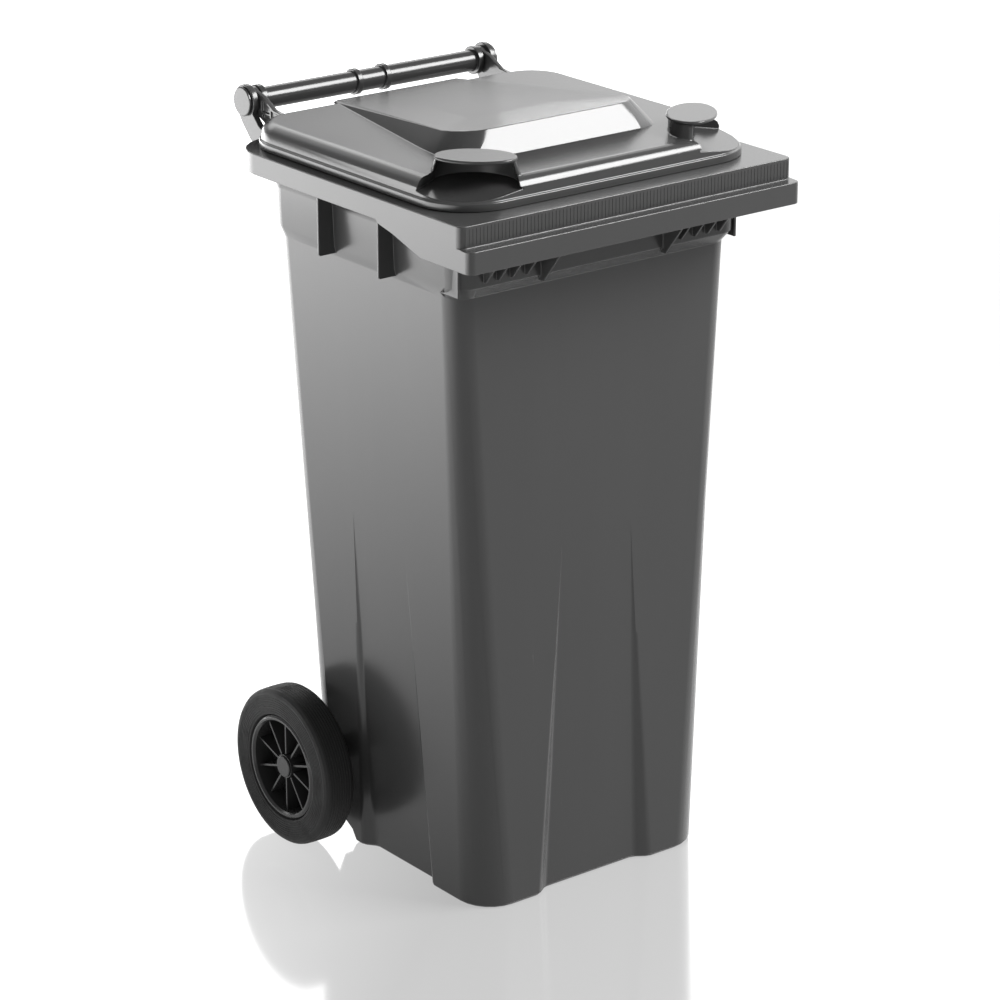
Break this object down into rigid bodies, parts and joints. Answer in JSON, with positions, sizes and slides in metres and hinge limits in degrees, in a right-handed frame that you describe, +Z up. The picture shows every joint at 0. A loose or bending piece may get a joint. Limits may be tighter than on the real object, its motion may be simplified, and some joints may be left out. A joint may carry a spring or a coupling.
{
  "type": "wheelie bin",
  "caption": "Tapered plastic wheelie bin with comb-lift rim, hinged domed lid with corner grips, rear grab handle and rear wheels on a through axle.",
  "frame": {"origin": "on the floor, below the middle of the bin's bounding box", "axes": "+Z up, -Y towards the front lip, +Y towards the handle and wheels, +X to the right seen from the front"},
  "size_m": [0.485, 0.534, 0.9205],
  "materials": {
    "bin_plastic": "semi-gloss moulded plastic",
    "lid_plastic": "semi-gloss moulded plastic",
    "black_plastic": "semi-gloss moulded plastic",
    "tyre": "solid rubber",
    "bush_plastic": "plain nylon",
    "steel": "zinc plated"
  },
  "bodies": {
    "bin": {"body": "bin_plastic", "handle_tube": "black_plastic", "handle_plug_left": "black_plastic", "handle_plug_right": "black_plastic", "hinge_pin_left": "bin_plastic", "hinge_pin_right": "bin_plastic", "axle": "steel", "retaining_ring_left": "steel", "retaining_ring_right": "steel", "thrust_washer_left": "steel", "thrust_washer_right": "steel", "spacer_sleeve_left": "bush_plastic", "spacer_sleeve_right": "bush_plastic"},
    "lid": {"lid": "lid_plastic"},
    "wheel_left": {"tyre_left": "tyre", "wheel_rim_left": "black_plastic", "wheel_bush_left": "bush_plastic", "hub_cap_left": "black_plastic"},
    "wheel_right": {"tyre_right": "tyre", "wheel_rim_right": "black_plastic", "wheel_bush_right": "bush_plastic", "hub_cap_right": "black_plastic"}
  },
  "joints": [
    {"name": "lid_hinge", "type": "hinge", "parent": "bin", "child": "lid", "pos_m": [0, 0.2467, 0.8942], "axis": [-1, 0, 0], "range_deg": [0, 270]},
    {"name": "wheel_left_spin", "type": "hinge", "parent": "bin", "child": "wheel_left", "pos_m": [-0.2207, 0.1126, 0.0987], "axis": [1, 0, 0], "continuous": true},
    {"name": "wheel_right_spin", "type": "hinge", "parent": "bin", "child": "wheel_right", "pos_m": [0.2207, 0.1126, 0.0987], "axis": [1, 0, 0], "continuous": true}
  ]
}
